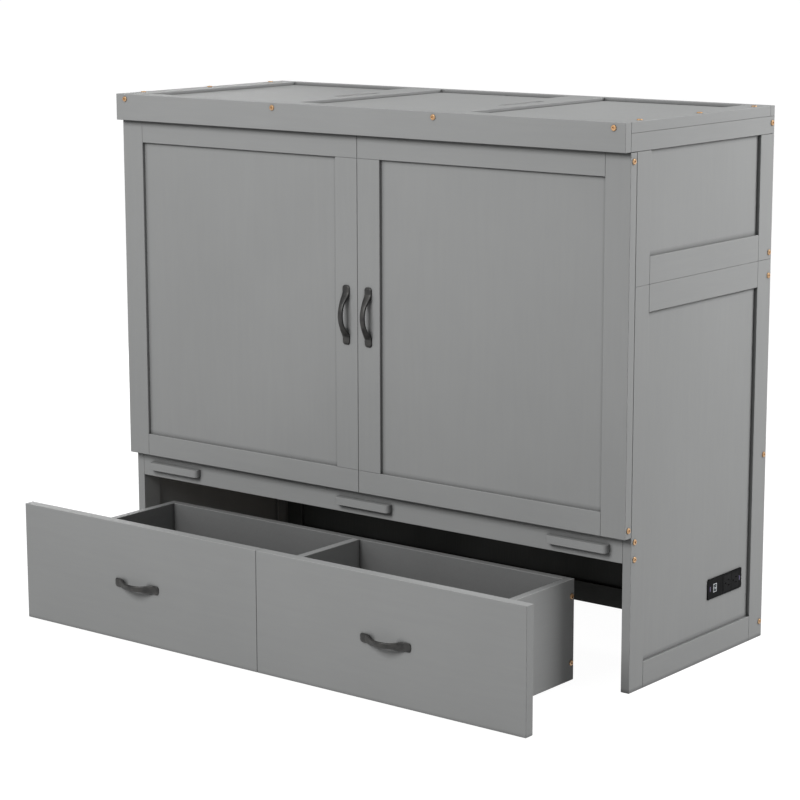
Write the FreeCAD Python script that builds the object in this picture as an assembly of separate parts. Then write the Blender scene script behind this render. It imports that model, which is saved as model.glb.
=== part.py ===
import FreeCAD, Part
import math
import os

# A cabinet bed: a panelled chest whose front drops forward and unfolds into a bed,
# with a lid on top, a wheeled drawer below and a power station in one side.
# Millimetres. +X to the right of a person facing the front, +Z up, front towards -Y.
# The sizes are set out with Y = 0 on the front edge of the side frames and moved to the
# part's origin, under the middle of the resting box, when each piece is written.

# ---- overall sizes
width = 1500.0
side_depth = 578.0
side_thickness = 22.0
lid_bottom = 1201.0
rim_height = 40.0
lid_board = 24.0
split_height = 910.0

# ---- framed panels
recess = 8.0
panel_thickness = 6.0
groove = 8.0
groove_play = 0.3
front_stile = 56.0
rear_stile = 59.0
side_rail = 61.0
edge_ease = 0.8
side_top_gap = 0.5

# ---- cabinet inside
back_thickness = 22.0
back_bottom = 3.0
back_member = 52.0
apron_bottom = 294.5
apron_top = 354.0
apron_thickness = 26.0
slat_thickness = 15.0
slat_width = 68.0
deck_slats = 6
cleat_height = 30.0
cleat_width = 20.0
beam_width = 40.0
beam_height = 46.0
bar_length = 162.0
bar_height = 18.5
bar_reach = 18.0
bar_end_inset = 137.0
slat_end_gap = 2.0

# ---- front cover
cover_bottom = 355.5
cover_thickness = 24.0
cover_gap = 1.0
cover_top_gap = 1.0
cover_axis_in = 3.0
cover_axis_up = 0.0
bar_clearance = 1.5
deck_clearance = 0.9
cover_outer_stile = 65.0
cover_centre_stile = 66.0
cover_rail = 54.0
seam = 0.8
cover_slat_width = 62.0
cover_slats = 8

# ---- lid
fascia_thickness = 22.0
lid_side_rail = 63.0
lid_front_rail = 28.0
lid_rear_rail = 20.0
cross_rail_width = 96.0
cross_rail_share = 0.164
hand_slot_length = 170.0
hand_slot_width = 24.0

# ---- fold-out section and its legs
extension_side_gap = 28.0
extension_length = 455.0
extension_axis_drop = 6.0
extension_near_drop = 7.0
extension_thickness = 24.0
extension_rail = 60.0
extension_slats = 4
extension_slat_width = 54.0
extension_slat_thickness = 12.0
slat_seat = 20.0
slat_play = 0.5
leg_width = 40.0
leg_thickness = 24.0
foot_leg_inset = 50.0
leg_spacing = 90.0
leg_inset = 30.0
middle_leg_inset = 40.0
leg_clearance = 1.0
stretcher_height = 38.0
stretcher_thickness = 18.0
stretcher_start = 14.0
floor_clearance = 1.0
bracket_ear = 2.5
bracket_gap = 0.6
bracket_tab = 20.0
bracket_radius = 10.0

# ---- drawer
drawer_reach = 393.3
drawer_front_thickness = 25.0
drawer_front_bottom = 3.0
drawer_front_top = 289.5
drawer_box_inset = 139.0
drawer_box_bottom = 11.0
drawer_box_top = 245.0
drawer_box_depth = 354.0
drawer_side_thickness = 18.0
drawer_back_thickness = 20.0
drawer_bottom_height = 46.0
drawer_bottom_thickness = 12.0
caster_radius = 20.0
caster_width = 18.0
caster_side_inset = 131.0
caster_inset = 60.0
caster_plate = 2.5
caster_plate_half = (26.0, 22.0)
caster_axle = 3.0
fork_gap = 1.0
fork_top_half = 14.0
fork_end_half = 6.0

# ---- hinges
knuckle_radius = 4.0
hinge_pin = 2.0
hinge_width = 64.0
hinge_leaf = 1.5
leaf_length = 32.0
pin_play = 0.05
knuckle_gap = 0.4
barrel_play = 1.0
notch_play = 0.5
lid_hinge_shares = (-0.72, -0.24, 0.24, 0.72)
cover_hinge_shares = (-0.827, -0.347, 0.347, 0.827)
extension_hinge_shares = (-0.8, -0.286, 0.286, 0.8)

# ---- pulls, bolts and power station
pull_length = 141.0
pull_foot = 22.0
pull_foot_width = 20.0
pull_bow_width = 13.5
pull_reach = 27.0
pull_thickness = 6.5
pull_height = 778.0
bolt_head = 6.5
bolt_head_height = 2.6
bolt_shank = 3.0
bolt_length = 38.0
bolt_play = 0.1
hex_across = 5.0
hex_depth = 2.2
apron_bolt_inset = 10.0
rear_bolt_low = 35.0
rear_bolt_drop = 10.5
split_bolt_below = 38.0
split_bolt_above = 16.0
lid_bolt_end_inset = 30.0
lid_bolt_share = 0.318
lid_bolt_side_inset = 17.0
lid_bolt_depth_shares = (0.1, 0.52, 0.93)
lid_rear_bolt_share = 0.62
cover_bolt_inset = 19.0
drawer_bolt_low = 41.0
drawer_bolt_high = 39.0
station_length = 150.0
station_height = 48.0
station_rear_gap = 90.0
station_bottom = 139.0
station_body_depth = 40.0
station_bezel = 2.5
station_inset = 5.0
station_corner = 3.0
station_play = 0.2
usb_offset = 31.0
usb_width = 15.0
usb_height = 20.0
usb_depth = 6.0
usb_wall = 1.2
module_line_offset = 64.0
module_line = 0.8
socket_offsets = (86.0, 119.5)
socket_width = 31.0
socket_height = 38.0
socket_depth = 5.0
socket_hole_depth = 3.0
socket_slot_rise = 6.35
socket_slot_back = 5.5
socket_slot_lengths = (8.4, 6.8)
socket_slot_width = 2.2
socket_earth_front = 7.0
socket_earth_radius = 2.4
inlet_width = 24.0
inlet_height = 16.0
inlet_depth = 12.0
inlet_rear_gap = 26.0

# ---- derived heights and planes
side_top = lid_bottom - side_top_gap
lid_rail_bottom = lid_bottom + rim_height
lid_top = lid_rail_bottom + lid_board
half = width / 2
inner = half - side_thickness
back_front = side_depth - back_thickness
cross_rail_centre = width * cross_rail_share
bar_spread = half - bar_end_inset
extension_half_width = inner - extension_side_gap
foot_leg_centre = extension_half_width - foot_leg_inset
middle_leg_centre = foot_leg_centre - leg_spacing
drawer_box_half = half - drawer_box_inset
caster_x = drawer_box_half - caster_side_inset
station_rear = side_depth - station_rear_gap
cover_in = -cover_gap
cover_out = cover_in - cover_thickness
cover_top = lid_bottom - cover_top_gap
fascia_out = cover_out - fascia_thickness
drawer_out = -drawer_reach
drawer_in = drawer_out + drawer_front_thickness
drawer_rear = drawer_in + drawer_box_depth
cover_axis = (cover_in - cover_axis_in, cover_bottom + cover_axis_up)
opened_outer = cover_axis[1] - (cover_axis[0] - cover_out)
opened_inner = cover_axis[1] + (cover_in - cover_axis[0])
bar_top = opened_outer - bar_clearance
deck_top = opened_inner - deck_clearance
extension_axis = (0.0, cover_top - extension_axis_drop)
extension_near = extension_axis[1] - extension_near_drop
extension_far = extension_near - extension_length
extension_face = cover_gap
extension_under = extension_face + extension_thickness
lid_axis = (side_depth + knuckle_radius + knuckle_gap, lid_bottom)
leg_plane = extension_under + leg_clearance + leg_thickness / 2
leg_length = opened_inner - (leg_plane - extension_face) - floor_clearance
foot_pivot = extension_far + leg_inset
middle_pivot = extension_near - middle_leg_inset
caster_axle_height = caster_radius
origin_shift = -(lid_axis[0] + knuckle_radius + drawer_out - pull_reach) / 2

nodes = {}
V = FreeCAD.Vector


# ---- building blocks
def box(x, y, z):
    return Part.makeBox(x[1] - x[0], y[1] - y[0], z[1] - z[0], V(x[0], y[0], z[0]))


def board(x, y, z):
    """A box with its edges eased, so that a joint between two boards shows as a fine line."""
    shape = box(x, y, z)
    return shape.makeChamfer(edge_ease, shape.Edges)


def both_sides(shape):
    return [shape, shape.mirror(V(0, 0, 0), V(1, 0, 0))]


def rod_x(radius, x, y, z):
    return Part.makeCylinder(radius, x[1] - x[0], V(x[0], y, z), V(1, 0, 0))


def prism_x(points, x):
    """A YZ outline pushed along X from x[0] to x[1]."""
    wire = Part.makePolygon([V(x[0], y, z) for y, z in points + points[:1]])
    return Part.Face(wire).extrude(V(x[1] - x[0], 0, 0))


def grown(shape_box, play):
    b = shape_box.BoundBox
    return box((b.XMin - play, b.XMax + play), (b.YMin - play, b.YMax + play),
               (b.ZMin - play, b.ZMax + play))


def let_in(members, inserts, play):
    """Cut the seats for the inserts, with play all round, out of the members."""
    result = []
    for member in members:
        for insert in inserts:
            seat = grown(insert, play)
            if member.BoundBox.intersect(seat.BoundBox):
                member = member.cut(seat)
        result.append(member)
    return result


def middle_of(low, high, index, count, size):
    """The span of piece number index of count alike pieces set evenly between low and high."""
    gap = (high - low - count * size) / (count + 1)
    start = low + gap + index * (size + gap)
    return start, start + size


# ---- side frames: stiles and rails round a thin panel, in two storeys
def side_frame(sign, storey, bottom, top, low_rail, top_rail):
    x = (inner, half)
    panel = box((half - recess - panel_thickness, half - recess),
                (front_stile - groove, side_depth - rear_stile + groove),
                (bottom + low_rail - groove, top - (top_rail - groove if top_rail else 0.0)))
    stiles = [board(x, (0.0, front_stile), (bottom, top)),
              board(x, (side_depth - rear_stile, side_depth), (bottom, top))]
    between = (front_stile, side_depth - rear_stile)
    rails = [board(x, between, (bottom, bottom + low_rail))]
    if top_rail:
        rails.append(board(x, between, (top - top_rail, top)))
    else:
        behind = (inner, half - recess - panel_thickness - groove_play)
        rails.append(board(behind, between, (top - side_rail, top)))
    stiles = let_in(stiles, [panel], groove_play)
    rails = [let_in([rails[0]], [panel], groove_play)[0]] + (
        let_in(rails[1:], [panel], groove_play) if top_rail else rails[1:])
    side = "left" if sign < 0 else "right"
    for name, solids in (("stiles", stiles), ("rails", rails), ("panel", [panel])):
        if sign < 0:
            solids = [both_sides(s)[1] for s in solids]
        nodes[side + "_" + storey + "_" + name] = solids


def side_frames():
    for sign in (-1, 1):
        side_frame(sign, "lower", 0.0, split_height, side_rail, side_rail)
        side_frame(sign, "upper", split_height, side_top, side_rail, 0.0)


# ---- back: two framed panels between the side frames
def back():
    y = (back_front, side_depth)
    panel_y = (back_front + recess, back_front + recess + panel_thickness)
    members = []
    panels = []
    for bottom, top in ((back_bottom, split_height), (split_height, side_top)):
        stile = board((inner - back_member, inner), y, (bottom, top))
        across = (-inner + back_member, inner - back_member)
        rails = [board(across, y, (bottom, bottom + back_member)),
                 board(across, y, (top - back_member, top))]
        reach = inner - back_member + groove
        panel = box((-reach, reach), panel_y, (bottom + back_member - groove, top - back_member + groove))
        members += let_in(both_sides(stile) + rails, [panel], groove_play)
        panels.append(panel)
    nodes["back_frame"] = members
    nodes["lower_back_panel"] = [panels[0]]
    nodes["upper_back_panel"] = [panels[1]]


# ---- apron below the cover, with the three bars the opened cover rests on
def apron_and_bars():
    apron = board((-inner, inner), (0.0, apron_thickness), (apron_bottom, apron_top))
    nodes["apron"] = [apron]
    bars = []
    for centre in (-bar_spread, 0.0, bar_spread):
        bar = box((centre - bar_length / 2, centre + bar_length / 2), (-bar_reach, 0.0),
                  (bar_top - bar_height, bar_top))
        corners = [e for e in bar.Edges if abs(e.Vertexes[0].Y + bar_reach) < 0.01
                   and abs(e.Vertexes[-1].Y + bar_reach) < 0.01
                   and abs(e.Vertexes[0].X - e.Vertexes[-1].X) < 0.01]
        bar = bar.makeFillet(bar_reach / 2, corners)
        bars.append(bar)
    nodes["ledge_bars"] = bars


# ---- fixed part of the bed deck inside the cabinet
def deck():
    top = deck_top - slat_thickness
    cleat = box((inner - cleat_width, inner), (apron_thickness, back_front), (top - cleat_height, top))
    rear = box((-inner + cleat_width, inner - cleat_width), (back_front - cleat_width, back_front),
               (top - cleat_height, top))
    nodes["deck_cleats"] = both_sides(cleat) + [rear]
    beam_y = (apron_thickness, back_front - cleat_width)
    nodes["deck_beam"] = [box((-beam_width / 2, beam_width / 2), beam_y, (top - beam_height, top))]
    slats = []
    for index in range(deck_slats):
        y = middle_of(apron_thickness, back_front, index, deck_slats, slat_width)
        slats.append(box((-inner + slat_end_gap, inner - slat_end_gap), y, (top, deck_top)))
    nodes["deck_slats"] = slats


# ---- bolts: a domed head with a hex socket on a plain shank, in matching holes
def hexagon(point, inward, across, depth):
    side = V(1, 0, 0) if abs(inward.z) > 0.5 else V(0, 0, 1)
    other = inward.cross(side)
    radius = across / math.sqrt(3.0)
    turns = [k * math.pi / 3 for k in range(6)]
    corners = [point + side * (radius * math.cos(a)) + other * (radius * math.sin(a)) for a in turns]
    return Part.Face(Part.makePolygon(corners + corners[:1])).extrude(inward * depth)


def bolt(point, inward):
    point = V(*point)
    inward = V(*inward)
    outer = point - inward * bolt_head_height
    head = Part.makeCylinder(bolt_head, bolt_head_height, outer, inward)
    rim = [e for e in head.Edges if len(e.Vertexes) == 1 and (e.CenterOfMass - outer).Length < 0.01]
    head = head.makeFillet(bolt_head_height * 0.6, rim)
    socket = hexagon(outer, inward, hex_across, hex_depth)
    shank = Part.makeCylinder(bolt_shank, bolt_length, point, inward)
    return head.cut(socket).fuse(shank).removeSplitter()


def fasten(name, places, boards):
    """Set a bolt at each (point, direction) and drill its hole through the named boards."""
    nodes[name] = [bolt(point, inward) for point, inward in places]
    for point, inward in places:
        start = V(*point)
        hole = Part.makeCylinder(bolt_shank + bolt_play, bolt_length + 1.0, start, V(*inward))
        for board in boards:
            nodes[board] = [s.cut(hole) if s.BoundBox.intersect(hole.BoundBox) else s for s in nodes[board]]


def mirrored(places):
    return places + [((-p[0], p[1], p[2]), (-d[0], d[1], d[2])) for p, d in places]


def cabinet_bolts():
    rear = side_depth - back_thickness / 2
    apron_heights = (apron_top - apron_bolt_inset, apron_bottom + apron_bolt_inset)
    places = [((half, apron_thickness / 2, z), (-1, 0, 0)) for z in apron_heights]
    heights = (back_bottom + rear_bolt_low, (back_bottom + split_height) / 2 - rear_bolt_drop,
               split_height - split_bolt_below, split_height + split_bolt_above)
    places += [((half, rear, z), (-1, 0, 0)) for z in heights]
    boards = ["apron", "back_frame"]
    for side in ("left", "right"):
        boards += [side + "_lower_stiles", side + "_upper_stiles"]
    fasten("cabinet_bolts", mirrored(places), boards)


# ---- lid: fascia, rims and a three-panel top frame
def lid():
    nodes["lid_fascia"] = [board((-half, half), (fascia_out, cover_out), (lid_bottom, lid_top))]
    rim = board((inner, half), (cover_out, side_depth), (lid_bottom, lid_rail_bottom))
    rear = board((-inner, inner), (back_front, side_depth), (lid_bottom, lid_rail_bottom))
    nodes["lid_rims"] = both_sides(rim) + [rear]
    z = (lid_rail_bottom, lid_top)
    rear_edge = side_depth - lid_rear_rail
    front_edge = cover_out + lid_front_rail
    side_in = half - lid_side_rail
    side_board = board((side_in, half), (cover_out, rear_edge), z)
    front = board((-side_in, side_in), (cover_out, front_edge), z)
    rear = board((-half, half), (rear_edge, side_depth), z)
    middle_y = (front_edge + rear_edge) / 2
    cross = board((cross_rail_centre - cross_rail_width / 2, cross_rail_centre + cross_rail_width / 2),
                  (front_edge, rear_edge), z)
    slot = box((cross_rail_centre - hand_slot_width / 2, cross_rail_centre + hand_slot_width / 2),
               (middle_y - hand_slot_length / 2, middle_y + hand_slot_length / 2), (z[0] - 1.0, z[1] + 1.0))
    upright = [e for e in slot.Edges if abs(e.Vertexes[0].Z - e.Vertexes[-1].Z) > 1.0]
    slot = slot.makeFillet(hand_slot_width / 2 - 0.5, upright)
    cross = cross.cut(slot)
    panel_z = (lid_top - recess - panel_thickness, lid_top - recess)
    panel_y = (front_edge - groove, rear_edge + groove)
    cross_in = cross_rail_centre - cross_rail_width / 2
    cross_out = cross_rail_centre + cross_rail_width / 2
    middle = box((-cross_in - groove, cross_in + groove), panel_y, panel_z)
    outer = box((cross_out - groove, side_in + groove), panel_y, panel_z)
    panels = [middle] + both_sides(outer)
    nodes["lid_frame_rails"] = let_in(both_sides(side_board) + [front, rear], panels, groove_play)
    nodes["lid_cross_rails"] = let_in(both_sides(cross), panels, groove_play)
    nodes["lid_panels"] = panels


def lid_bolts():
    z = lid_top - lid_board / 2
    across = (half - lid_bolt_end_inset, half * lid_bolt_share)
    places = mirrored([((x, fascia_out, z), (0, 1, 0)) for x in across])
    depths = [cover_out + side_depth * share for share in lid_bolt_depth_shares]
    places += mirrored([((half - lid_bolt_side_inset, y, lid_top), (0, 0, -1)) for y in depths])
    rear = side_depth - back_thickness / 2
    places += mirrored([((half, rear, lid_bottom + rim_height * lid_rear_bolt_share), (-1, 0, 0))])
    boards = ["lid_fascia", "lid_rims", "lid_frame_rails", "lid_cross_rails", "lid_panels"]
    fasten("lid_bolts", places, boards)


# ---- pulls: an arched bar with flared feet, drawn from the side and from the front
def pull(vertical):
    long_half = pull_length / 2
    inner_half = long_half - pull_foot
    side = [V(-long_half, 0, 0), V(-long_half, -pull_thickness * 0.5, 0),
            V(-inner_half, -pull_thickness * 0.9, 0)]
    top = Part.Arc(side[2], V(0, -pull_reach, 0), V(inner_half, side[2].y, 0)).toShape()
    low_start = V(inner_half - 5.0, 0, 0)
    low = Part.Arc(low_start, V(0, -pull_reach + pull_thickness, 0), V(-low_start.x, 0, 0)).toShape()
    edges = [Part.makeLine(side[0], side[1]), Part.makeLine(side[1], side[2]), top,
             Part.makeLine(V(inner_half, side[2].y, 0), V(long_half, side[1].y, 0)),
             Part.makeLine(V(long_half, side[1].y, 0), V(long_half, 0, 0)),
             Part.makeLine(V(long_half, 0, 0), low_start), low,
             Part.makeLine(V(-low_start.x, 0, 0), side[0])]
    profile = Part.Face(Part.Wire(edges)).extrude(V(0, 0, pull_foot_width))
    profile.translate(V(0, 0, -pull_foot_width / 2))
    foot = pull_foot_width / 2
    bow = pull_bow_width / 2
    waist = [V(-long_half, 0, foot), V(-inner_half, 0, foot)]
    plan = [Part.makeLine(waist[0], waist[1]),
            Part.Arc(waist[1], V(0, 0, bow), V(inner_half, 0, foot)).toShape(),
            Part.makeLine(V(inner_half, 0, foot), V(long_half, 0, foot)),
            Part.makeLine(V(long_half, 0, foot), V(long_half, 0, -foot)),
            Part.makeLine(V(long_half, 0, -foot), V(inner_half, 0, -foot)),
            Part.Arc(V(inner_half, 0, -foot), V(0, 0, -bow), V(-inner_half, 0, -foot)).toShape(),
            Part.makeLine(V(-inner_half, 0, -foot), V(-long_half, 0, -foot)),
            Part.makeLine(V(-long_half, 0, -foot), V(-long_half, 0, foot))]
    outline = Part.Face(Part.Wire(plan)).extrude(V(0, -2 * pull_reach, 0))
    outline.translate(V(0, pull_reach / 2, 0))
    shape = profile.common(outline)
    if vertical:
        shape.rotate(V(0, 0, 0), V(0, 1, 0), 90)
    return shape


def pulls_at(places, vertical):
    result = []
    for x, y, z in places:
        shape = pull(vertical)
        shape.translate(V(x, y, z))
        result.append(shape)
    return result


# ---- front cover: two panelled halves with a seam between them
def cover():
    y = (cover_out, cover_in)
    z = (cover_bottom, cover_top)
    outer = board((half - cover_outer_stile, half), y, z)
    centre = board((seam / 2, cover_centre_stile), y, (cover_bottom + cover_rail, cover_top - cover_rail))
    across = (seam / 2, half - cover_outer_stile)
    low = board(across, y, (cover_bottom, cover_bottom + cover_rail))
    high = board(across, y, (cover_top - cover_rail, cover_top))
    panel_y = (cover_out + recess, cover_out + recess + panel_thickness)
    opening_x = (cover_centre_stile, half - cover_outer_stile)
    opening_z = (cover_bottom + cover_rail, cover_top - cover_rail)
    panel = box((opening_x[0] - groove, opening_x[1] + groove), panel_y,
                (opening_z[0] - groove, opening_z[1] + groove))
    panels = both_sides(panel)
    nodes["cover_stiles"] = let_in(both_sides(outer) + both_sides(centre), panels, groove_play)
    nodes["cover_rails"] = let_in(both_sides(low) + both_sides(high), panels, groove_play)
    nodes["cover_panels"] = panels
    slats = []
    for index in range(cover_slats):
        slat_z = middle_of(opening_z[0], opening_z[1], index, cover_slats, cover_slat_width)
        slat_x = (opening_x[0] + slat_play, opening_x[1] - slat_play)
        slats += both_sides(box(slat_x, (panel_y[1], cover_in), slat_z))
    nodes["cover_slats"] = slats
    pull_x = cover_centre_stile / 2
    places = [(x, cover_out, pull_height) for x in (-pull_x, pull_x)]
    nodes["cover_pulls"] = pulls_at(places, True)


def cover_bolts():
    middle = cover_out + cover_thickness / 2
    heights = (cover_top - cover_bolt_inset, cover_bottom + cover_bolt_inset)
    fasten("cover_bolts", mirrored([((half, middle, z), (-1, 0, 0)) for z in heights]),
           ["cover_stiles", "cover_rails"])


# ---- hinges: a plate with outer knuckles and pin, and a plate with the middle knuckle
def hinge(x, axis, fixed_plate, moving_plate):
    y, z = axis
    start = x - hinge_width / 2
    end = x + hinge_width / 2
    third = hinge_width / 3
    middle = (start + third, end - third)
    outer = ((start, start + third - knuckle_gap), (end - third + knuckle_gap, end))
    clear = knuckle_radius + knuckle_gap
    fixed = fixed_plate.cut(rod_x(clear, (middle[0] - knuckle_gap, middle[1] + knuckle_gap), y, z))
    for span in outer:
        fixed = fixed.fuse(rod_x(knuckle_radius, span, y, z))
    fixed = fixed.fuse(rod_x(hinge_pin, (start, end), y, z))
    moving = moving_plate
    for span in outer:
        moving = moving.cut(rod_x(clear, (span[0] - 1.0, span[1] + knuckle_gap) if span[0] == start
                                  else (span[0] - knuckle_gap, span[1] + 1.0), y, z))
    moving = moving.fuse(rod_x(knuckle_radius, middle, y, z))
    moving = moving.cut(rod_x(hinge_pin + pin_play, (start, end), y, z))
    return fixed.removeSplitter(), moving.removeSplitter()


def hinge_row(base, leaves, places, axis, fixed_plate, moving_plate):
    """The same hinge at each x in places; the plates are (y span, z span) pairs."""
    nodes[base] = []
    nodes[leaves] = []
    for x in places:
        across = (x - hinge_width / 2, x + hinge_width / 2)
        fixed, moving = hinge(x, axis, box(across, *fixed_plate), box(across, *moving_plate))
        nodes[base].append(fixed)
        nodes[leaves].append(moving)


def cut_from(name, tools):
    solids = []
    for solid in nodes[name]:
        for tool in tools:
            if solid.BoundBox.intersect(tool.BoundBox):
                solid = solid.cut(tool)
        solids.append(solid)
    nodes[name] = solids


def lid_hinges():
    y, z = lid_axis
    plate_y = (side_depth, side_depth + hinge_leaf)
    hinge_row("lid_hinge_base", "lid_hinge_leaves", [half * s for s in lid_hinge_shares], lid_axis,
              (plate_y, (z - leaf_length, z)), (plate_y, (z, z + leaf_length)))


def cover_hinges():
    y, z = cover_axis
    places = [half * share for share in cover_hinge_shares]
    near = y + knuckle_radius - hinge_leaf
    apron_plate = ((y, apron_thickness - knuckle_radius), (apron_top, apron_top + hinge_leaf))
    cover_plate = ((near - hinge_leaf, near), (z, z + leaf_length))
    hinge_row("cover_hinge_base", "cover_hinge_leaves", places, cover_axis, apron_plate, cover_plate)
    clear = knuckle_radius + barrel_play
    tools = []
    for x in places:
        across = (x - hinge_width / 2 - notch_play, x + hinge_width / 2 + notch_play)
        tools.append(box(across, (y - clear, 1.0), (cover_bottom - 1.0, z + clear)))
        tools.append(box(across, (near - hinge_leaf, 1.0), (z, z + leaf_length + notch_play)))
    for name in ("cover_rails", "cover_stiles", "cover_slats"):
        cut_from(name, tools)


def extension_hinges():
    y, z = extension_axis
    places = [extension_half_width * share for share in extension_hinge_shares]
    cover_plate = (y - knuckle_radius, y - knuckle_radius + hinge_leaf)
    frame_plate = (y + knuckle_radius - hinge_leaf, y + knuckle_radius)
    plate_z = (z - leaf_length - knuckle_radius, z)
    hinge_row("extension_hinge_base", "extension_hinge_leaves", places, extension_axis,
              (cover_plate, plate_z), (frame_plate, plate_z))
    clear = knuckle_radius + barrel_play
    cover_tools = []
    frame_tools = []
    for x in places:
        across = (x - hinge_width / 2 - notch_play, x + hinge_width / 2 + notch_play)
        low = plate_z[0] - notch_play
        cover_tools.append(box(across, (y - clear, 1.0), (z - clear, cover_top + 1.0)))
        cover_tools.append(box(across, (cover_plate[0], 1.0), (low, z)))
        frame_tools.append(box(across, (0.0, frame_plate[1]), (low, extension_near + 1.0)))
    cut_from("cover_rails", cover_tools)
    cut_from("cover_stiles", cover_tools)
    cut_from("extension_frame", frame_tools)


# ---- fold-out section: a slatted frame hung inside the cover
def extension():
    y = (extension_face, extension_under)
    wide = (-extension_half_width, extension_half_width)
    near = box(wide, y, (extension_near - extension_rail, extension_near))
    far = box(wide, y, (extension_far, extension_far + extension_rail))
    span = (extension_far + extension_rail, extension_near - extension_rail)
    side = box((extension_half_width - extension_rail, extension_half_width), y, span)
    middle = box((-extension_rail / 2, extension_rail / 2), y, span)
    slats = []
    reach = extension_half_width - extension_rail + slat_seat
    for index in range(extension_slats):
        z = middle_of(span[0], span[1], index, extension_slats, extension_slat_width)
        slats.append(box((-reach, reach), (extension_face, extension_face + extension_slat_thickness), z))
    seats = [box((-reach - slat_play, reach + slat_play),
                 (extension_face - 1.0, extension_face + extension_slat_thickness),
                 (s.BoundBox.ZMin - slat_play, s.BoundBox.ZMax + slat_play)) for s in slats]
    frame = []
    for member in [near, far] + both_sides(side) + [middle]:
        for seat in seats:
            if member.BoundBox.intersect(seat.BoundBox):
                member = member.cut(seat)
        frame.append(member)
    nodes["extension_frame"] = frame
    nodes["extension_slats"] = slats


# ---- legs: a pair of square legs with a stretcher, turning in brackets under the section
def leg_frame(name, centre, pivot, direction):
    """Legs lie along Z from the pivot, upwards for direction 1 and downwards for -1."""
    y = (leg_plane - leg_thickness / 2, leg_plane + leg_thickness / 2)
    x = (centre - leg_width / 2, centre + leg_width / 2)
    ends = sorted((pivot, pivot + direction * leg_length))
    leg = box(x, y, ends).fuse(rod_x(leg_thickness / 2, x, leg_plane, pivot)).removeSplitter()
    leg = leg.cut(rod_x(caster_axle + pin_play, (x[0] - 1.0, x[1] + 1.0), leg_plane, pivot))
    stretch = sorted((pivot + direction * stretcher_start,
                      pivot + direction * (stretcher_start + stretcher_height)))
    stretcher_y = (leg_plane - stretcher_thickness / 2, leg_plane + stretcher_thickness / 2)
    stretcher = box((-x[0], x[0]), stretcher_y, stretch)
    nodes[name] = both_sides(leg) + [stretcher]


def leg_bracket(centre, pivot):
    near = centre - leg_width / 2 - bracket_gap
    far = centre + leg_width / 2 + bracket_gap
    height = (pivot - bracket_radius, pivot + bracket_radius)
    parts = []
    for inside, outside in ((near, near - bracket_ear), (far, far + bracket_ear)):
        x = tuple(sorted((inside, outside)))
        plate = box(x, (extension_under, leg_plane), height)
        plate = plate.fuse(rod_x(bracket_radius, x, leg_plane, pivot))
        tab_end = outside + math.copysign(bracket_tab, outside - inside)
        foot_y = (extension_under, extension_under + bracket_ear)
        foot = box(tuple(sorted((inside, tab_end))), foot_y, height)
        parts.append(plate.fuse(foot))
    pin = rod_x(caster_axle, (near - bracket_ear, far + bracket_ear), leg_plane, pivot)
    return parts[0].fuse(parts[1]).fuse(pin).removeSplitter()


def legs():
    leg_frame("foot_leg_frame", foot_leg_centre, foot_pivot, 1)
    leg_frame("middle_leg_frame", middle_leg_centre, middle_pivot, -1)
    brackets = []
    for centre, pivot in ((foot_leg_centre, foot_pivot), (middle_leg_centre, middle_pivot)):
        brackets += both_sides(leg_bracket(centre, pivot))
    nodes["leg_brackets"] = brackets


# ---- drawer on four fixed casters
def drawer():
    y = (drawer_in, drawer_rear)
    z = (drawer_box_bottom, drawer_box_top)
    front = board((seam / 2, half), (drawer_out, drawer_in), (drawer_front_bottom, drawer_front_top))
    nodes["drawer_fronts"] = both_sides(front)
    side_in = drawer_box_half - drawer_side_thickness
    side = board((side_in, drawer_box_half), y, z)
    rear = board((-side_in, side_in), (drawer_rear - drawer_back_thickness, drawer_rear), z)
    seat = groove - 2.0
    bottom_z = (drawer_bottom_height, drawer_bottom_height + drawer_bottom_thickness)
    rear_face = drawer_rear - drawer_back_thickness
    bottom = box((-side_in - seat, side_in + seat), (drawer_in, rear_face + seat), bottom_z)
    nodes["drawer_sides"] = let_in(both_sides(side), [bottom], groove_play)
    nodes["drawer_back"] = let_in([rear], [bottom], groove_play)
    nodes["drawer_bottom"] = [bottom]
    partition_x = (-drawer_back_thickness / 2, drawer_back_thickness / 2)
    nodes["drawer_partition"] = [board(partition_x, (drawer_in, rear_face), (bottom_z[1], z[1]))]
    height = (drawer_front_bottom + drawer_front_top) / 2 - 3.0
    nodes["drawer_pulls"] = pulls_at([(x, drawer_out, height) for x in (-half / 2, half / 2)], False)
    rear_y = drawer_rear - drawer_back_thickness / 2
    levels = (drawer_box_bottom + drawer_bolt_low, drawer_box_top - drawer_bolt_high)
    places = [((drawer_box_half, rear_y, level), (-1, 0, 0)) for level in levels]
    fasten("drawer_bolts", mirrored(places), ["drawer_sides", "drawer_back"])


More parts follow.
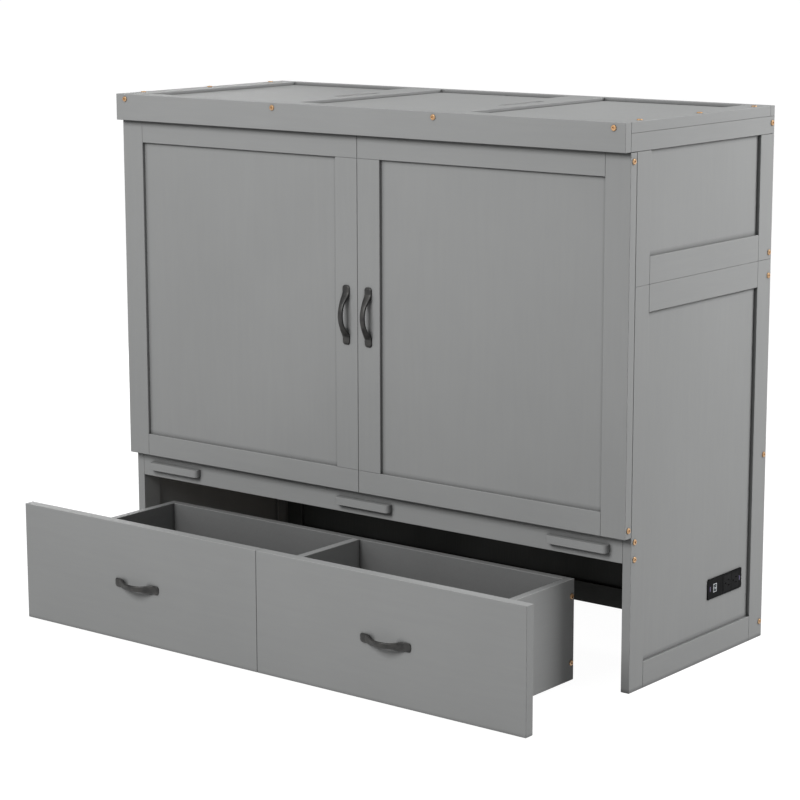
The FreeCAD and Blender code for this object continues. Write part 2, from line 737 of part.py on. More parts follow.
def casters():
    brackets = []
    rows = (("front", drawer_in + caster_inset), ("rear", drawer_rear - caster_inset))
    top = drawer_bottom_height
    for row, y in rows:
        for side, x in (("left", -caster_x), ("right", caster_x)):
            tread_x = (x - caster_width / 2, x + caster_width / 2)
            wheel = rod_x(caster_radius, tread_x, y, caster_axle_height)
            rims = [e for e in wheel.Edges if len(e.Vertexes) == 1]
            wheel = wheel.makeFillet(caster_radius / 10, rims)
            wheel = wheel.cut(rod_x(caster_axle + pin_play, (x - caster_width, x + caster_width), y,
                                    caster_axle_height))
            nodes["caster_wheel_" + row + "_" + side] = [wheel]
            gap = caster_width / 2 + fork_gap
            across, deep = caster_plate_half
            shape = box((x - across, x + across), (y - deep, y + deep), (top - caster_plate, top))
            end = caster_axle_height - fork_end_half
            start = top - caster_plate / 2
            outline = [(y - fork_top_half, start), (y + fork_top_half, start),
                       (y + fork_end_half, end), (y - fork_end_half, end)]
            for sign in (-1, 1):
                ear_x = tuple(sorted((x + sign * gap, x + sign * (gap + caster_plate))))
                shape = shape.fuse(prism_x(outline, ear_x))
            pin_half = gap + caster_plate + caster_axle / 2
            pin = rod_x(caster_axle, (x - pin_half, x + pin_half), y, caster_axle_height)
            brackets.append(shape.fuse(pin).removeSplitter())
    nodes["caster_brackets"] = brackets


# ---- power station let into the lower right panel
def station():
    y = (station_rear - station_length, station_rear)
    z = (station_bottom, station_bottom + station_height)
    middle_z = (z[0] + z[1]) / 2
    face = half - recess
    front = face + station_bezel
    back = face - station_body_depth
    body = box((back, face), (y[0] + station_inset, y[1] - station_inset),
               (z[0] + station_inset, z[1] - station_inset))
    bezel = box((face, front), y, z)
    upright = [e for e in bezel.Edges if abs(e.Vertexes[0].X - e.Vertexes[-1].X) > 1.0]
    bezel = bezel.makeFillet(station_corner, upright)
    cut_from("right_lower_panel", [grown(body, groove_play)])
    housing = body.fuse(bezel).removeSplitter()

    port_y = (y[0] + usb_offset - usb_width / 2, y[0] + usb_offset + usb_width / 2)
    port_z = (middle_z - usb_height / 2, middle_z + usb_height / 2)
    port = box((face - usb_depth, front + station_play), port_y, port_z)
    housing = housing.cut(grown(port, station_play))
    mouth_y = (port_y[0] + usb_wall, port_y[1] - usb_wall)
    lower_z = (port_z[0] + usb_wall, middle_z - usb_wall / 2)
    upper_z = (middle_z + usb_wall / 2, port_z[1] - usb_wall)
    for mouth_z in (lower_z, upper_z):
        port = port.cut(box((face - usb_depth + usb_wall, front + 1.0), mouth_y, mouth_z))
    line_y = y[0] + module_line_offset
    line = box((front - module_line, front + 1.0), (line_y, line_y + module_line), (z[0] - 1.0, z[1] + 1.0))
    housing = housing.cut(line)

    sockets = []
    bottom = front - socket_hole_depth - station_bezel
    for offset in socket_offsets:
        centre = y[0] + offset
        plug_face = box((face - socket_depth, front + station_play),
                        (centre - socket_width / 2, centre + socket_width / 2),
                        (middle_z - socket_height / 2, middle_z + socket_height / 2))
        housing = housing.cut(grown(plug_face, station_play))
        slot_y = centre + socket_slot_back
        for rise, length in zip((-socket_slot_rise, socket_slot_rise), socket_slot_lengths):
            slot_z = middle_z + rise
            plug_face = plug_face.cut(box((bottom, front + 1.0), (slot_y - length / 2, slot_y + length / 2),
                                          (slot_z - socket_slot_width / 2, slot_z + socket_slot_width / 2)))
        earth = Part.makeCylinder(socket_earth_radius, front + 1.0 - bottom,
                                  V(bottom, centre - socket_earth_front, middle_z), V(1, 0, 0))
        sockets.append(plug_face.cut(earth))
    inlet_end = y[1] - inlet_rear_gap
    inlet = box((back - 1.0, back + inlet_depth), (inlet_end - inlet_width, inlet_end),
                (middle_z - inlet_height / 2, middle_z + inlet_height / 2))
    nodes["station_housing"] = [housing.cut(inlet)]
    nodes["station_usb_ports"] = [port]
    nodes["station_sockets"] = sockets


def write_nodes():
    os.makedirs("parts", exist_ok=True)
    for name, solids in nodes.items():
        solids = [solid for shape in solids for solid in shape.Solids]
        shape = solids[0] if len(solids) == 1 else Part.makeCompound(solids)
        shape = shape.copy()
        shape.translate(V(0, origin_shift, 0))
        shape.exportStep("parts/" + name + ".step")
        print(name, len(solids), "valid" if shape.isValid() else "NOT VALID")


side_frames()
back()
apron_and_bars()
deck()
cabinet_bolts()
lid()
lid_bolts()
lid_hinges()
cover()
cover_bolts()
extension()
cover_hinges()
extension_hinges()
legs()
drawer()
casters()
station()
write_nodes()
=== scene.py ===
import math

import bmesh
import bpy
from mathutils import Matrix, Vector


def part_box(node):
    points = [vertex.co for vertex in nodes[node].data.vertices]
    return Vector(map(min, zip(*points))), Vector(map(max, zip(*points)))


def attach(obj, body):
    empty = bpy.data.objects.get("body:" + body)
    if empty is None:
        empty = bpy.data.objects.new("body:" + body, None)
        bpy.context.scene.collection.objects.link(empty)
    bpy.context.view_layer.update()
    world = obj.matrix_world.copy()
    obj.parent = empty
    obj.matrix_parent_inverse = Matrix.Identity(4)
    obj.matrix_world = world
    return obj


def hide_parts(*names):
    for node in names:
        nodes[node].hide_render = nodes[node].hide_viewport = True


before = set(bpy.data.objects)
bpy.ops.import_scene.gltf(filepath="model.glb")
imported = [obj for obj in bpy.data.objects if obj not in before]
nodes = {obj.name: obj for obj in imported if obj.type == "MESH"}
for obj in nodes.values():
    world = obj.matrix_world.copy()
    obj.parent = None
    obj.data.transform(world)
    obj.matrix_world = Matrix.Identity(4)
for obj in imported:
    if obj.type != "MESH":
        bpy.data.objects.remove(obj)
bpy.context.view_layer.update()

# Lengths are in metres, angles in radians and colours are linear.

# ---- colours
WHITE = (1.0, 1.0, 1.0)
PAINT = (0.300, 0.304, 0.303)
PAINT_PALE = (0.322, 0.325, 0.324)
PAINT_DEEP = (0.278, 0.282, 0.281)
PAINT_WORN = (0.42, 0.42, 0.41)
STREAK_DARK = (0.988, 0.988, 0.988)
STREAK_LIGHT = (1.008, 1.008, 1.008)
BLACK_BOARD = (0.013, 0.014, 0.013)
BLACK_BOARD_PALE = (0.022, 0.023, 0.021)
BLACK_BOARD_WORN = (0.05, 0.05, 0.046)
PINE = (0.62, 0.42, 0.23)
PINE_DARK = (0.42, 0.25, 0.115)
PINE_PALE = (0.72, 0.53, 0.33)
PINE_KNOT = (0.20, 0.095, 0.035)
FIBRE_DARK = (0.90, 0.88, 0.85)
FIBRE_LIGHT = (1.05, 1.05, 1.05)
IRON = (0.030, 0.030, 0.030)
IRON_WORN = (0.105, 0.100, 0.093)
COPPER = (0.53, 0.345, 0.195)
COPPER_DARK = (0.50, 0.25, 0.09)
ZINC = (0.52, 0.53, 0.54)
ZINC_DARK = (0.34, 0.35, 0.36)
PORT = (0.60, 0.62, 0.63)
PORT_DARK = (0.42, 0.43, 0.44)
TREAD = (0.018, 0.018, 0.019)
TREAD_PALE = (0.06, 0.06, 0.062)
HOUSING = (0.0045, 0.0045, 0.005)
HOUSING_PALE = (0.006, 0.006, 0.0065)
SOCKET = (0.008, 0.008, 0.0085)
SOCKET_PALE = (0.009, 0.009, 0.0095)
VIOLET = (0.020, 0.006, 0.065)
VIOLET_PALE = (0.034, 0.012, 0.10)
FLOOR_LIT = (0.22, 0.22, 0.22)
FLOOR_SEEN = (0.16, 0.16, 0.16)

# ---- surface detail
NOISE_BAND = (0.35, 0.65)      # where most values of a noise lie
NOISE_SUM_BAND = (0.7, 1.3)    # and most values of two noises added
EDGE_BAND = (0.02, 0.25)       # how far a normal has turned where an edge begins and is full
BOARD_EDGE = 0.0011
SMALL_EDGE = 0.0006
PULL_EDGE = 0.0008
LENS_EDGE = 0.0003
BEVEL_SAMPLES = 6
# samples of the ambient occlusion node that paints shade into the paint colour
PAINTED_SHADE_SAMPLES = 4
ACROSS_GRAIN = 14.0            # how much finer the grain is across a board than along it
PAINT_EVEN = 0.62              # how far the paint's clouds are drawn back to its middle colour
PINE_EVEN = 0.45               # and how far the rings of the pine

# painted shade in joints and deep in the drawer box: its reach, the band of openness it is read
# from, and its deepest value
JOINT_SHADE = (0.012, (0.50, 0.97), 0.45)
BOX_SHADE = (0.50, (0.36, 0.95), 0.36)

# ---- where the boards of one node change direction
NO_END = 2.0
LID_END_RAIL = 0.687
LID_SIDE_RIM = 0.728
BACK_STILE = 0.676
SIDE_CLEAT = 0.708
FOLD_OUT_SIDES = (0.792, 1.127)
FOOT_LEG = 0.630
MIDDLE_LEG = 0.540
# |x| within which the drawer's inside gets deeper painted shade
DRAWER_INNER = 0.6095

# ---- pulls: sizes, then places as shares of the half length, from the middle to an end
PULL_LENGTH = 0.141
PULL_PAD = 0.0198
PULL_BOW = 0.0132
PULL_BAR = 0.0066
PULL_PAD_HEIGHT = 0.0042
PULL_TIP_DROP = 0.0026
PULL_TIP_NARROWS = 0.42
PULL_LENGTH_SLACK = 0.0004
PULL_REACH_SLACK = 0.0003
PULL_ARCH_END = 0.76
PULL_GAP = (0.54, 0.68)
PULL_FLARE = (0.30, 0.72)
PULL_TIP = 0.88
PULL_SECTIONS = 64
PULL_SIDES = 20

# ---- lights of the power station
LENS_RADIUS = 0.0026
LENS_LENGTH = 0.007
LENS_DOME = 0.0006
LENS_SUNK = 0.0002
LENS_CLOSED = 0.96
LENS_RINGS = 6
LENS_SIDES = 24
LENS_FRONT_INSET = 0.0100
LENS_REAR_INSET = 0.0090

# ---- screws of the lid's hinges: reach and rise of the head, as shares, and places on a leaf
SCREW_PROFILE = ((1.0, -0.2), (1.0, 0.15), (0.93, 0.5), (0.72, 0.85), (0.45, 1.0), (0.36, 0.95),
                 (0.28, 0.35))
SCREW_RADIUS = 0.0036
SCREW_RISE = 0.0009
SCREW_SIDES = 18
SCREW_SPOTS = ((-0.022, 0.013), (0.0, 0.023), (0.022, 0.013))
HALF_WIDTH = 0.75
HINGE_SHARES = (-0.72, -0.24, 0.24, 0.72)
LEAF_REACH = 0.032
LEAF_THICKNESS = 0.0015

# ---- studio
FLOOR_HALF = 60.0
FLOOR_Z = -0.0002
FLOOR_GLOW = 0.97
WORLD_LIGHT = 0.30
WORLD_SEEN = 1.0
LIGHTS = (
    # name, place, target, size, power
    ("key", (-0.5, -4.0, 3.2), (0.0, 0.0, 0.8), (2.4, 2.0), 165.0),
    ("side", (3.3, 2.0, 2.5), (0.7, 0.2, 0.7), (2.0, 2.0), 134.0),
    ("left_fill", (-3.4, 2.2, 1.1), (-0.7, 0.2, 0.65), (2.0, 1.6), 62.0),
    ("overhead", (0.0, 0.5, 4.3), (0.0, 0.1, 1.2), (2.6, 2.6), 34.0),
)
CAMERA_PLACE = (3.5940, -4.5004, 1.6850)
CAMERA_TURN = 0.6684
CAMERA_DOWN = 0.1926
CAMERA_ROLL = -0.0022
CAMERA_LENS_MM = 110.77
CAMERA_SENSOR_MM = 36.0
CAMERA_FAR = 200.0


# ---- node helpers
class Tree:
    """Short calls that add and join the nodes of a material or a world."""

    def __init__(self, owner):
        owner.use_nodes = True
        self.owner = owner
        self.nodes = owner.node_tree.nodes
        self.links = owner.node_tree.links

    def add(self, kind, **values):
        node = self.nodes.new(kind)
        for key, value in values.items():
            setattr(node, key, value)
        return node

    def set(self, socket, value):
        if isinstance(value, bpy.types.NodeSocket):
            self.links.new(value, socket)
        elif isinstance(value, tuple) and len(value) == 3 and socket.type == "RGBA":
            socket.default_value = (*value, 1.0)
        else:
            socket.default_value = value

    def fill(self, node, **values):
        """Set inputs by name, with _ for each space."""
        for name, value in values.items():
            self.set(node.inputs[name.replace("_", " ")], value)
        return node

    def math(self, operation, a, b=0.0):
        node = self.add("ShaderNodeMath", operation=operation)
        self.set(node.inputs[0], a)
        self.set(node.inputs[1], b)
        return node.outputs[0]

    def show(self, output, factor, first, second):
        """Send the mix of two shaders to the output."""
        mix = self.add("ShaderNodeMixShader")
        for socket, value in zip(mix.inputs, (factor, first.outputs[0], second.outputs[0])):
            self.set(socket, value)
        self.set(self.nodes[output].inputs["Surface"], mix.outputs[0])


class Finish(Tree):
    """A material with its shader, laid out in the coordinates of its object."""

    def __init__(self, name):
        super().__init__(bpy.data.materials.new(name))
        self.shader = self.nodes["Principled BSDF"]
        self.point = self.add("ShaderNodeTexCoord").outputs["Object"]

    def stretched(self, scale):
        node = self.fill(self.add("ShaderNodeMapping"), Vector=self.point, Scale=scale)
        return node.outputs[0]

    def off_middle(self, axis):
        """The distance from the middle of the frame along an axis."""
        split = self.add("ShaderNodeSeparateXYZ")
        self.set(split.inputs[0], self.point)
        return self.math("ABSOLUTE", split.outputs[axis])

    def noise(self, vector, scale, detail=3.0, rough=0.5, warp=0.0):
        node = self.fill(self.add("ShaderNodeTexNoise"), Vector=vector, Scale=scale,
                         Detail=detail, Roughness=rough, Distortion=warp)
        return node.outputs["Fac"]

    def spread(self, value, band, result=(0.0, 1.0)):
        """Map the band of values to the result, and hold what lies outside it."""
        node = self.add("ShaderNodeMapRange")
        for socket, number in zip(node.inputs, (value, *band, *result)):
            self.set(socket, number)
        return node.outputs[0]

    def blend(self, factor, a, b, kind="MIX"):
        node = self.add("ShaderNodeMix", data_type="RGBA", blend_type=kind)
        self.set(node.inputs[0], factor)
        self.set(node.inputs[6], a)
        self.set(node.inputs[7], b)
        return node.outputs[2]

    def choose(self, factor, a, b):
        node = self.add("ShaderNodeMix", data_type="VECTOR")
        self.set(node.inputs[0], factor)
        self.set(node.inputs[4], a)
        self.set(node.inputs[5], b)
        return node.outputs[1]

    def edge(self, radius):
        """1 on the edges of the shape and 0 on its flats, with the rounded normal."""
        bevel = self.fill(self.add("ShaderNodeBevel", samples=BEVEL_SAMPLES), Radius=radius)
        flat = self.add("ShaderNodeNewGeometry").outputs["Normal"]
        dot = self.add("ShaderNodeVectorMath", operation="DOT_PRODUCT")
        self.set(dot.inputs[0], bevel.outputs[0])
        self.set(dot.inputs[1], flat)
        turned = self.math("SUBTRACT", 1.0, dot.outputs["Value"])
        return self.spread(turned, EDGE_BAND), bevel.outputs[0]

    def painted_crevice_shade(self, reach, band, deepest):
        """Painted shade: 1 on open surfaces, darkening to deepest in joints and inner corners, read
        from an ambient occlusion node.
        """
        node = self.fill(self.add("ShaderNodeAmbientOcclusion", samples=PAINTED_SHADE_SAMPLES),
                         Distance=reach)
        return self.spread(node.outputs["AO"], band, (deepest, 1.0))

    def bump(self, height, strength, distance, normal):
        node = self.fill(self.add("ShaderNodeBump"), Strength=strength, Distance=distance,
                         Height=height, Normal=normal)
        return node.outputs[0]

    def done(self, color, roughness, normal, **uniform):
        """The material itself; the uniform values go on the shader's own sockets."""
        self.fill(self.shader, Base_Color=color, Roughness=roughness, Normal=normal, **uniform)
        return self.owner


def stretch(along, length, across):
    """Scales of x, y and z for a pattern that runs along one of them."""
    return tuple(length if axis == along else across for axis in "xyz")


def beyond(place, along):
    """A layout whose boards run along another axis where |x| is more than place."""
    return "X", place, NO_END, along


def grain_point(t, along, layout=None):
    """Coordinates stretched along the boards. A layout of two directions gives its second as
    (axis, low, high, along), for where the distance from the middle is between low and high."""
    first = t.stretched(stretch(along, 1.0, ACROSS_GRAIN))
    if layout is None:
        return first
    axis, low, high, other = layout
    value = t.off_middle(axis)
    above = t.math("GREATER_THAN", value, low)
    below = t.math("LESS_THAN", value, high)
    second = t.stretched(stretch(other, 1.0, ACROSS_GRAIN))
    return t.choose(t.math("MULTIPLY", above, below), first, second)


# ---- finishes
def paint(name, along, layout=None, hollow=None):
    """Satin paint, with painted shade in joints and inner corners and, where |x| is less than
    hollow, deeper painted shade inside the drawer box.
    """
    t = Finish(name)
    grain_at = grain_point(t, along, layout)
    cloud = t.noise(t.point, scale=2.6, detail=4.0, rough=0.55)
    streak = t.noise(grain_at, scale=5.5, detail=5.0, rough=0.6, warp=0.4)
    brush = t.noise(grain_at, scale=42.0, detail=3.0, rough=0.55)
    peel = t.noise(t.point, scale=420.0, detail=2.0)
    chips = t.noise(t.point, scale=38.0, detail=5.0, rough=0.7)

    color = t.blend(t.spread(cloud, NOISE_BAND), PAINT_DEEP, PAINT_PALE)
    color = t.blend(PAINT_EVEN, color, PAINT)
    streaked = t.blend(t.spread(streak, (0.38, 0.64)), STREAK_DARK, STREAK_LIGHT)
    color = t.blend(1.0, color, streaked, "MULTIPLY")
    wear, rounded = t.edge(BOARD_EDGE)
    worn = t.math("MULTIPLY", wear, t.spread(chips, (0.42, 0.62), (0.15, 0.8)))
    color = t.blend(worn, color, PAINT_WORN)

    # painted shade: ambient occlusion darkens the colour in joints, reveals and inner corners, and
    # more deeply inside the drawer box
    painted_shade = t.painted_crevice_shade(*JOINT_SHADE)
    if hollow:
        inside = t.math("LESS_THAN", t.off_middle("X"), hollow)
        outside = t.math("SUBTRACT", 1.0, inside)
        painted_shade = t.math("MULTIPLY", painted_shade, t.math("MAXIMUM", outside, t.painted_crevice_shade(*BOX_SHADE)))
    shade = t.add("ShaderNodeVectorMath", operation="SCALE")
    t.set(shade.inputs[0], color)
    t.set(shade.inputs["Scale"], painted_shade)

    roughness = t.spread(t.math("ADD", brush, cloud), NOISE_SUM_BAND, (0.54, 0.70))
    normal = t.bump(brush, 0.07, 0.0003, rounded)
    normal = t.bump(peel, 0.12, 0.00012, normal)
    return t.done(shade.outputs[0], roughness, normal, Specular_IOR_Level=0.28)


def black_board(name, along, layout=None):
    """Dark stained board, for the back."""
    t = Finish(name)
    fibre = t.noise(grain_point(t, along, layout), scale=24.0, detail=6.0, rough=0.65, warp=0.6)
    cloud = t.noise(t.point, scale=5.0)
    color = t.blend(t.spread(fibre, (0.38, 0.66)), BLACK_BOARD, BLACK_BOARD_PALE)
    wear, rounded = t.edge(BOARD_EDGE)
    worn = t.math("MULTIPLY", wear, t.spread(cloud, (0.4, 0.6), (0.1, 0.7)))
    color = t.blend(worn, color, BLACK_BOARD_WORN)
    roughness = t.spread(t.math("ADD", fibre, cloud), NOISE_SUM_BAND, (0.62, 0.82))
    normal = t.bump(fibre, 0.22, 0.0004, rounded)
    return t.done(color, roughness, normal, Specular_IOR_Level=0.25)


def pine(name, along, layout=None):
    """Bare pine with rings, fibres and a few knots, for the slats and legs."""
    t = Finish(name)
    grain_at = grain_point(t, along, layout)
    wave = t.add("ShaderNodeTexWave", wave_type="RINGS", rings_direction=along.upper())
    t.fill(wave, Vector=t.stretched(stretch(along, 0.10, 1.0)), Scale=26.0, Distortion=7.0,
           Detail=3.0, Detail_Scale=1.4)
    rings = wave.outputs["Fac"]
    fibre = t.noise(grain_at, scale=60.0, detail=5.0, rough=0.6)
    board = t.noise(grain_at, scale=2.2, detail=2.0)
    color = t.blend(t.spread(rings, (0.15, 0.95)), PINE, PINE_DARK)
    color = t.blend(PINE_EVEN, color, PINE)
    color = t.blend(t.spread(board, (0.38, 0.62), (0.0, 0.5)), color, PINE_PALE)
    fine = t.blend(t.spread(fibre, NOISE_BAND), FIBRE_DARK, FIBRE_LIGHT)
    color = t.blend(1.0, color, fine, "MULTIPLY")

    knot = t.add("ShaderNodeTexVoronoi", feature="F1")
    t.fill(knot, Vector=t.stretched(stretch(along, 2.2, 6.0)), Scale=1.1)
    spot = t.spread(knot.outputs["Distance"], (0.05, 0.13), (1.0, 0.0))
    color = t.blend(t.math("MULTIPLY", spot, 0.8), color, PINE_KNOT)
    wear, rounded = t.edge(BOARD_EDGE)
    color = t.blend(t.math("MULTIPLY", wear, 0.35), color, PINE_PALE)
    roughness = t.spread(t.math("ADD", fibre, rings), (0.4, 1.6), (0.50, 0.68))
    normal = t.bump(fibre, 0.25, 0.0003, rounded)
    return t.done(color, roughness, normal, Specular_IOR_Level=0.3)


def toward(base, other, share):
    """The colour that is the given share of the way from base to other."""
    return tuple((1.0 - share) * a + share * b for a, b in zip(base, other))


def metal(name, base, worn, metallic, rough, grit, edge=SMALL_EDGE, wear_most=0.8):
    t = Finish(name)
    cloud = t.noise(t.point, scale=60.0, detail=4.0, rough=0.6)
    fine = t.noise(t.point, scale=grit, detail=3.0, rough=0.6)
    color = t.blend(t.spread(cloud, (0.35, 0.68)), base, toward(base, worn, 0.45))
    wear, rounded = t.edge(edge)
    rubbed = t.math("MULTIPLY", wear, t.spread(fine, (0.35, 0.6), (0.2, wear_most)))
    color = t.blend(rubbed, color, worn)
    roughness = t.spread(t.math("ADD", cloud, fine), NOISE_SUM_BAND, rough)
    normal = t.bump(fine, 0.18, 0.00015, rounded)
    return t.done(color, roughness, normal, Metallic=metallic)


def plastic(name, base, pale, rough, grit=1500.0, gloss=0.22):
    t = Finish(name)
    cloud = t.noise(t.point, scale=30.0)
    fine = t.noise(t.point, scale=grit, detail=2.0)
    color = t.blend(t.spread(cloud, NOISE_BAND), base, toward(base, pale, 0.4))
    wear, rounded = t.edge(SMALL_EDGE)
    color = t.blend(t.math("MULTIPLY", wear, 0.7), color, pale)
    roughness = t.spread(t.math("ADD", cloud, fine), NOISE_SUM_BAND, rough)
    normal = t.bump(fine, 0.15, 0.0001, rounded)
    return t.done(color, roughness, normal, Specular_IOR_Level=gloss)


def violet_lens():
    t = Finish("violet_lens")
    cloud = t.noise(t.point, scale=400.0, detail=2.0)
    color = t.blend(t.spread(cloud, (0.3, 0.7)), VIOLET, VIOLET_PALE)
    _, rounded = t.edge(LENS_EDGE)
    roughness = t.spread(cloud, (0.3, 0.7), (0.12, 0.24))
    return t.done(color, roughness, t.bump(cloud, 0.1, 0.0001, rounded))


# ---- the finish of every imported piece
def give(material, *names):
    for name in names:
        slots = nodes[name].data.materials
        slots.clear()
        slots.append(material)


give(paint("paint_upright", "z"), "left_lower_stiles", "left_upper_stiles", "right_lower_stiles",
     "right_upper_stiles", "left_lower_panel", "left_upper_panel", "right_lower_panel",
     "right_upper_panel", "cover_stiles", "cover_panels")
give(paint("paint_across", "x"), "cover_rails", "apron", "ledge_bars", "lid_fascia",
     "drawer_fronts")
give(paint("paint_deep", "y"), "left_lower_rails", "left_upper_rails", "right_lower_rails",
     "right_upper_rails", "drawer_partition", "lid_cross_rails", "lid_panels")
# the drawer box: painted shade deep inside it, within DRAWER_INNER
give(paint("paint_box_across", "x", hollow=DRAWER_INNER), "drawer_back", "drawer_bottom")
give(paint("paint_box_deep", "y", hollow=DRAWER_INNER), "drawer_sides")
give(paint("paint_lid_frame", "x", beyond(LID_END_RAIL, "y")), "lid_frame_rails")
give(paint("paint_lid_rim", "x", beyond(LID_SIDE_RIM, "y")), "lid_rims")
give(black_board("black_panel", "z"), "lower_back_panel", "upper_back_panel")
give(black_board("black_frame", "x", beyond(BACK_STILE, "z")), "back_frame")
give(pine("pine_across", "x"), "deck_slats", "cover_slats", "extension_slats")
give(pine("pine_deep", "y"), "deck_beam")
give(pine("pine_cleats", "x", beyond(SIDE_CLEAT, "y")), "deck_cleats")
give(pine("pine_fold_out", "x", ("Z", *FOLD_OUT_SIDES, "z")), "extension_frame")
give(pine("pine_foot_legs", "x", beyond(FOOT_LEG, "z")), "foot_leg_frame")
give(pine("pine_middle_legs", "x", beyond(MIDDLE_LEG, "z")), "middle_leg_frame")

copper = metal("aged_copper", COPPER, COPPER_DARK, metallic=0.75, rough=(0.30, 0.5), grit=900.0)
give(copper, "cabinet_bolts", "lid_bolts", "cover_bolts", "drawer_bolts")
zinc = metal("zinc_plate", ZINC, ZINC_DARK, metallic=0.95, rough=(0.30, 0.48), grit=700.0,
             wear_most=0.5)
give(zinc, "lid_hinge_base", "lid_hinge_leaves", "cover_hinge_base", "cover_hinge_leaves",
     "extension_hinge_base", "extension_hinge_leaves", "leg_brackets", "caster_brackets")
iron = metal("black_iron", IRON, IRON_WORN, metallic=0.55, rough=(0.36, 0.55), grit=1100.0,
             edge=PULL_EDGE, wear_most=0.7)
give(iron, "cover_pulls", "drawer_pulls")
port = metal("port_shell", PORT, PORT_DARK, metallic=0.9, rough=(0.22, 0.38), grit=1400.0)
give(port, "station_usb_ports")

tread = plastic("caster_tread", TREAD, TREAD_PALE, rough=(0.5, 0.7), grit=900.0)
give(tread, "caster_wheel_front_left", "caster_wheel_front_right", "caster_wheel_rear_left",
     "caster_wheel_rear_right")
housing = plastic("station_black", HOUSING, HOUSING_PALE, rough=(0.42, 0.58), gloss=0.04)
give(housing, "station_housing")
socket_black = plastic("socket_black", SOCKET, SOCKET_PALE, rough=(0.42, 0.6), gloss=0.05)
give(socket_black, "station_sockets")


# ---- shape helpers
def circle(sides, turn=0.0):
    """Cosine and sine at each corner of a polygon, turned by a share of one side."""
    angles = [2 * math.pi * (k + turn) / sides for k in range(sides)]
    return [(math.cos(a), math.sin(a)) for a in angles]


def smooth_step(start, end, value):
    """0 at start, 1 at end and held outside them, eased between."""
    share = min(1.0, max(0.0, (value - start) / (end - start)))
    return share * share * (3.0 - 2.0 * share)


def skin(shape, rings):
    """Quads between each ring of vertices and the next."""
    for a, b in zip(rings, rings[1:]):
        for k in range(len(a)):
            n = (k + 1) % len(a)
            shape.faces.new((a[k], a[n], b[n], b[k]))


def make_piece(name, shape, material):
    """An object of the finished bmesh, with its faces turned outwards."""
    bmesh.ops.recalc_face_normals(shape, faces=shape.faces)
    mesh = bpy.data.meshes.new(name)
    shape.to_mesh(mesh)
    shape.free()
    mesh.materials.append(material)
    piece = bpy.data.objects.new(name, mesh)
    bpy.context.scene.collection.objects.link(piece)
    return piece


# ---- cast pulls: an arched bar that sweeps up out of two flared pads
def pull_section(share, reach):
    """Half width, underside and top of the casting, at a share of its half length."""
    rise = max(0.0, 1.0 - (share / PULL_ARCH_END) ** 2.1) ** 1.22
    top = PULL_PAD_HEIGHT + (reach - PULL_PAD_HEIGHT) * rise
    gap_low, gap_high = PULL_GAP
    under = max(0.0, top - PULL_BAR) * smooth_step(gap_high, gap_low, share)
    width = PULL_BOW + (PULL_PAD - PULL_BOW) * smooth_step(*PULL_FLARE, share)
    tip = max(0.0, (share - PULL_TIP) / (1.0 - PULL_TIP))
    width *= 1.0 - PULL_TIP_NARROWS * tip ** 3.2
    top -= PULL_TIP_DROP * tip ** 2.4
    return width / 2, under, top


def cast_pull(shape, centre, length, reach, vertical):
    """A closed skin of rounded sections; centre is on the face of the board, outwards is -Y."""
    long_half = length / 2
    rings = []
    for i in range(PULL_SECTIONS + 1):
        s = -long_half * math.cos(math.pi * i / PULL_SECTIONS)
        wide, under, top = pull_section(min(1.0, abs(s) / long_half), reach)
        middle = (under + top) / 2
        tall = (top - under) / 2
        ring = []
        for c, d in circle(PULL_SIDES, 0.5):
            across = wide * math.copysign(abs(c) ** 0.55, c)
            out = middle + tall * math.copysign(abs(d) ** 0.60, d)
            local = (across, -out, s) if vertical else (s, -out, across)
            ring.append(shape.verts.new(centre + Vector(local)))
        rings.append(ring)
    skin(shape, rings)
    shape.faces.new(rings[0])
    shape.faces.new(rings[-1])


def pull_pair(name, body, node, vertical):
    low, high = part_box(node)
    length = PULL_LENGTH - PULL_LENGTH_SLACK
    reach = high.y - low.y - PULL_REACH_SLACK
    inset = (PULL_PAD if vertical else PULL_LENGTH) / 2
    height = (low.z + high.z) / 2
    shape = bmesh.new()
    for x in (low.x + inset, high.x - inset):
        cast_pull(shape, Vector((x, high.y, height)), length, reach, vertical)
    for face in shape.faces:
        face.smooth = len(face.verts) == 4
    piece = make_piece(name, shape, iron)
    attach(piece, body)
    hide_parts(node)


pull_pair("cover_pull_castings", "cover", "cover_pulls", True)
pull_pair("drawer_pull_castings", "drawer", "drawer_pulls", False)


# ---- lights of the power station
def lens(name, centre, material):
    """A pill-shaped light pipe, domed outwards along +X."""
    shape = bmesh.new()
    rings = []
    for step in range(LENS_RINGS + 1):
        share = step / LENS_RINGS
        radius = LENS_RADIUS * math.cos(share * math.pi / 2 * LENS_CLOSED)
        out = LENS_DOME * math.sin(share * math.pi / 2)
        ring = []
        for c, d in circle(LENS_SIDES):
            z = radius * d + math.copysign(LENS_LENGTH / 2, d)
            ring.append(shape.verts.new(centre + Vector((out, radius * c, z))))
        rings.append(ring)
    skin(shape, rings)
    shape.faces.new(rings[-1])
    for face in shape.faces:
        face.smooth = True
    piece = make_piece(name, shape, material)
    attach(piece, "cabinet")


station_low, station_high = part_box("station_housing")
station_z = (station_low.z + station_high.z) / 2
violet = violet_lens()
for name, y in (("station_light_front", station_low.y + LENS_FRONT_INSET),
                ("station_light_rear", station_high.y - LENS_REAR_INSET)):
    lens(name, Vector((station_high.x - LENS_SUNK, y, station_z)), violet)


# ---- screws in the lid's hinges
def screw_heads(name, spots, body):
    """Round heads with a drive recess, facing +Y, one at each spot."""
    shape = bmesh.new()
    for spot in spots:
        rings = []
        for reach, rise in SCREW_PROFILE:
            ring = []
            for c, d in circle(SCREW_SIDES):
                out = Vector((c, 0.0, d)) * (reach * SCREW_RADIUS)
                ring.append(shape.verts.new(spot + out + Vector((0.0, rise * SCREW_RISE, 0.0))))
            rings.append(ring)
        skin(shape, rings)
        shape.faces.new(rings[-1])
        shape.faces.new(rings[0])
    piece = make_piece(name, shape, zinc)
    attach(piece, body)


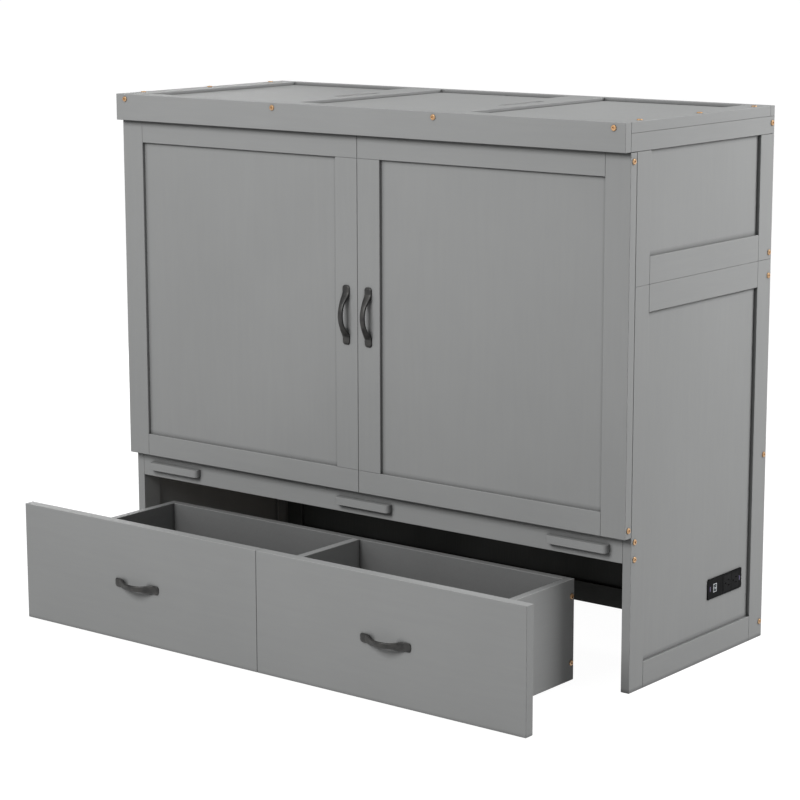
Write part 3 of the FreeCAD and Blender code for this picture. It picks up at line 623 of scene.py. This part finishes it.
hinge_low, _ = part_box("lid_hinge_base")
_, leaf_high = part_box("lid_hinge_leaves")
fold = leaf_high.z - LEAF_REACH
leaf_face = hinge_low.y + LEAF_THICKNESS
for name, side, body in (("lid_hinge_base_screws", -1, "cabinet"),
                         ("lid_hinge_leaf_screws", 1, "lid")):
    screw_heads(name, [Vector((HALF_WIDTH * share + x, leaf_face, fold + side * z))
                       for share in HINGE_SHARES for x, z in SCREW_SPOTS], body)


# ---- floor, lights and camera
def studio_material():
    """A white ground: grey paper in the object's light, and white to the eye, in reflections
    and through glass, where the object's shadow still falls on it."""
    t = Finish("studio_floor")
    t.fill(t.shader, Base_Color=FLOOR_LIT, Roughness=0.9, Specular_IOR_Level=0.0)
    path = t.add("ShaderNodeLightPath").outputs
    indirect = t.math("MAXIMUM", path["Is Glossy Ray"], path["Is Transmission Ray"])
    seen = t.math("MAXIMUM", path["Is Camera Ray"], indirect)
    paper = t.fill(t.add("ShaderNodeBsdfDiffuse"), Color=FLOOR_SEEN)
    glow = t.fill(t.add("ShaderNodeEmission"), Strength=FLOOR_GLOW)
    white = t.add("ShaderNodeAddShader")
    t.set(white.inputs[0], paper.outputs[0])
    t.set(white.inputs[1], glow.outputs[0])
    t.show("Material Output", seen, t.shader, white)
    return t.owner


def floor():
    mesh = bpy.data.meshes.new("studio_floor")
    corners = [(x * FLOOR_HALF, y * FLOOR_HALF, 0) for x, y in ((-1, -1), (1, -1), (1, 1), (-1, 1))]
    mesh.from_pydata(corners, [], [(0, 1, 2, 3)])
    ground = bpy.data.objects.new("studio_floor", mesh)
    ground.location.z = FLOOR_Z
    bpy.context.scene.collection.objects.link(ground)
    mesh.materials.append(studio_material())


def surroundings():
    """A world that lights evenly and is white behind the object."""
    world = bpy.data.worlds.new("studio")
    bpy.context.scene.world = world
    t = Tree(world)
    plain = t.fill(t.nodes["Background"], Color=WHITE, Strength=WORLD_LIGHT)
    white = t.fill(t.add("ShaderNodeBackground"), Color=WHITE, Strength=WORLD_SEEN)
    path = t.add("ShaderNodeLightPath").outputs
    seen = t.math("MAXIMUM", path["Is Camera Ray"], path["Is Transmission Ray"])
    t.show("World Output", seen, plain, white)


def soft_light(name, place, target, size, power):
    data = bpy.data.lights.new(name, "AREA")
    data.shape = "RECTANGLE"
    data.size, data.size_y = size
    data.energy = power
    lamp = bpy.data.objects.new(name, data)
    lamp.location = place
    lamp.rotation_euler = (Vector(target) - Vector(place)).to_track_quat("-Z", "Y").to_euler()
    bpy.context.scene.collection.objects.link(lamp)


def camera():
    data = bpy.data.cameras.new("camera")
    data.sensor_width = CAMERA_SENSOR_MM
    data.lens = CAMERA_LENS_MM
    data.clip_end = CAMERA_FAR
    view = bpy.data.objects.new("camera", data)
    view.location = CAMERA_PLACE
    turn = (Matrix.Rotation(CAMERA_TURN, 3, "Z")
            @ Matrix.Rotation(math.pi / 2 - CAMERA_DOWN, 3, "X")
            @ Matrix.Rotation(CAMERA_ROLL, 3, "Z"))
    view.rotation_euler = turn.to_euler()
    bpy.context.scene.collection.objects.link(view)
    bpy.context.scene.camera = view


floor()
surroundings()
for light in LIGHTS:
    soft_light(*light)
camera()

scene = bpy.context.scene
scene.view_settings.view_transform = "Standard"
